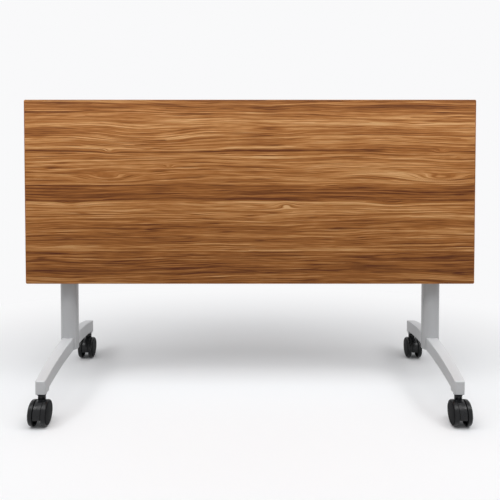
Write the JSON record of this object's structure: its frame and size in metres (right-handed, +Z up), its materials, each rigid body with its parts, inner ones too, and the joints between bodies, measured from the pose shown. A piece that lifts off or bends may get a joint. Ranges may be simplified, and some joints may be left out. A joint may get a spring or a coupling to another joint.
{
  "type": "flip top training table",
  "caption": "Flip top training table on swivel casters: a wood grain board that turns on a cross tube between two column legs with arched feet, latched by a release bar.",
  "frame": {"origin": "on the floor, in the middle of the table's outline", "axes": "+Z up, X along the table, -Y the side that the upright work surface faces"},
  "size_m": [1.5, 0.595, 0.9755],
  "materials": {
    "walnut_board": "satin melamine, walnut grain",
    "walnut_edge": "satin ABS edging",
    "silver_paint": "satin silver powder coat on steel tube",
    "silver_casting": "satin silver powder coat on castings",
    "bearer_paint": "black powder coat on pressed steel",
    "zinc_steel": "bright zinc plate",
    "spring_steel": "drawn wire",
    "black_plastic": "moulded, satin",
    "grey_plastic": "moulded, fine texture",
    "white_nylon": "moulded nylon",
    "black_rubber": "moulded rubber"
  },
  "bodies": {
    "base": {"left_foot": "silver_casting", "right_foot": "silver_casting", "left_column": "silver_paint", "right_column": "silver_paint", "left_tie_bolt": "zinc_steel", "right_tie_bolt": "zinc_steel", "left_head": "silver_casting", "right_head": "silver_casting", "left_rest_pad": "black_rubber", "right_rest_pad": "black_rubber", "left_clamp_screw": "zinc_steel", "right_clamp_screw": "zinc_steel", "left_index_plate": "zinc_steel", "right_index_plate": "zinc_steel", "left_tube_cap": "black_plastic", "right_tube_cap": "black_plastic", "cross_tube": "silver_paint", "front_left_socket": "black_plastic", "rear_left_socket": "black_plastic", "front_right_socket": "black_plastic", "rear_right_socket": "black_plastic"},
    "top": {"top_board": "walnut_board", "edge_band": "walnut_edge", "left_bearer": "bearer_paint", "right_bearer": "bearer_paint", "left_inner_bush": "white_nylon", "left_outer_bush": "white_nylon", "right_inner_bush": "white_nylon", "right_outer_bush": "white_nylon", "left_buffer": "black_rubber", "right_buffer": "black_rubber", "left_release_spring": "spring_steel", "right_release_spring": "spring_steel", "bar_guide": "black_plastic"},
    "release": {"release_bar": "zinc_steel", "left_pawl": "zinc_steel", "right_pawl": "zinc_steel", "left_grip": "black_plastic", "right_grip": "black_plastic"},
    "front_left_caster": {"front_left_stem": "zinc_steel", "front_left_hood": "grey_plastic", "front_left_axle": "zinc_steel"},
    "front_left_inner": {"front_left_inner_wheel": "black_plastic"},
    "front_left_outer": {"front_left_outer_wheel": "black_plastic"},
    "rear_left_caster": {"rear_left_stem": "zinc_steel", "rear_left_hood": "grey_plastic", "rear_left_axle": "zinc_steel"},
    "rear_left_inner": {"rear_left_inner_wheel": "black_plastic"},
    "rear_left_outer": {"rear_left_outer_wheel": "black_plastic"},
    "front_right_caster": {"front_right_stem": "zinc_steel", "front_right_hood": "grey_plastic", "front_right_axle": "zinc_steel"},
    "front_right_inner": {"front_right_inner_wheel": "black_plastic"},
    "front_right_outer": {"front_right_outer_wheel": "black_plastic"},
    "rear_right_caster": {"rear_right_stem": "zinc_steel", "rear_right_hood": "grey_plastic", "rear_right_axle": "zinc_steel"},
    "rear_right_inner": {"rear_right_inner_wheel": "black_plastic"},
    "rear_right_outer": {"rear_right_outer_wheel": "black_plastic"}
  },
  "joints": [
    {"name": "top_flip", "type": "hinge", "parent": "base", "child": "top", "pos_m": [0, 0.043, 0.668], "axis": [-1, 0, 0], "range_deg": [0, 90]},
    {"name": "release_turn", "type": "hinge", "parent": "top", "child": "release", "pos_m": [0, 0.0217, 0.60489], "axis": [-1, 0, 0], "range_deg": [-6, 8], "stiffness_Nm_per_rad": 4, "springref_deg": -6.02},
    {"name": "front_left_swivel", "type": "hinge", "parent": "base", "child": "front_left_caster", "pos_m": [-0.625, -0.242, 0], "axis": [0, 0, 1], "continuous": true},
    {"name": "front_left_inner_roll", "type": "hinge", "parent": "front_left_caster", "child": "front_left_inner", "pos_m": [-0.625, -0.26, 0.0375], "axis": [1, 0, 0], "continuous": true},
    {"name": "front_left_outer_roll", "type": "hinge", "parent": "front_left_caster", "child": "front_left_outer", "pos_m": [-0.625, -0.26, 0.0375], "axis": [1, 0, 0], "continuous": true},
    {"name": "rear_left_swivel", "type": "hinge", "parent": "base", "child": "rear_left_caster", "pos_m": [-0.625, 0.278, 0], "axis": [0, 0, 1], "continuous": true},
    {"name": "rear_left_inner_roll", "type": "hinge", "parent": "rear_left_caster", "child": "rear_left_inner", "pos_m": [-0.625, 0.26, 0.0375], "axis": [1, 0, 0], "continuous": true},
    {"name": "rear_left_outer_roll", "type": "hinge", "parent": "rear_left_caster", "child": "rear_left_outer", "pos_m": [-0.625, 0.26, 0.0375], "axis": [1, 0, 0], "continuous": true},
    {"name": "front_right_swivel", "type": "hinge", "parent": "base", "child": "front_right_caster", "pos_m": [0.625, -0.242, 0], "axis": [0, 0, 1], "continuous": true},
    {"name": "front_right_inner_roll", "type": "hinge", "parent": "front_right_caster", "child": "front_right_inner", "pos_m": [0.625, -0.26, 0.0375], "axis": [1, 0, 0], "continuous": true},
    {"name": "front_right_outer_roll", "type": "hinge", "parent": "front_right_caster", "child": "front_right_outer", "pos_m": [0.625, -0.26, 0.0375], "axis": [1, 0, 0], "continuous": true},
    {"name": "rear_right_swivel", "type": "hinge", "parent": "base", "child": "rear_right_caster", "pos_m": [0.625, 0.278, 0], "axis": [0, 0, 1], "continuous": true},
    {"name": "rear_right_inner_roll", "type": "hinge", "parent": "rear_right_caster", "child": "rear_right_inner", "pos_m": [0.625, 0.26, 0.0375], "axis": [1, 0, 0], "continuous": true},
    {"name": "rear_right_outer_roll", "type": "hinge", "parent": "rear_right_caster", "child": "rear_right_outer", "pos_m": [0.625, 0.26, 0.0375], "axis": [1, 0, 0], "continuous": true}
  ]
}
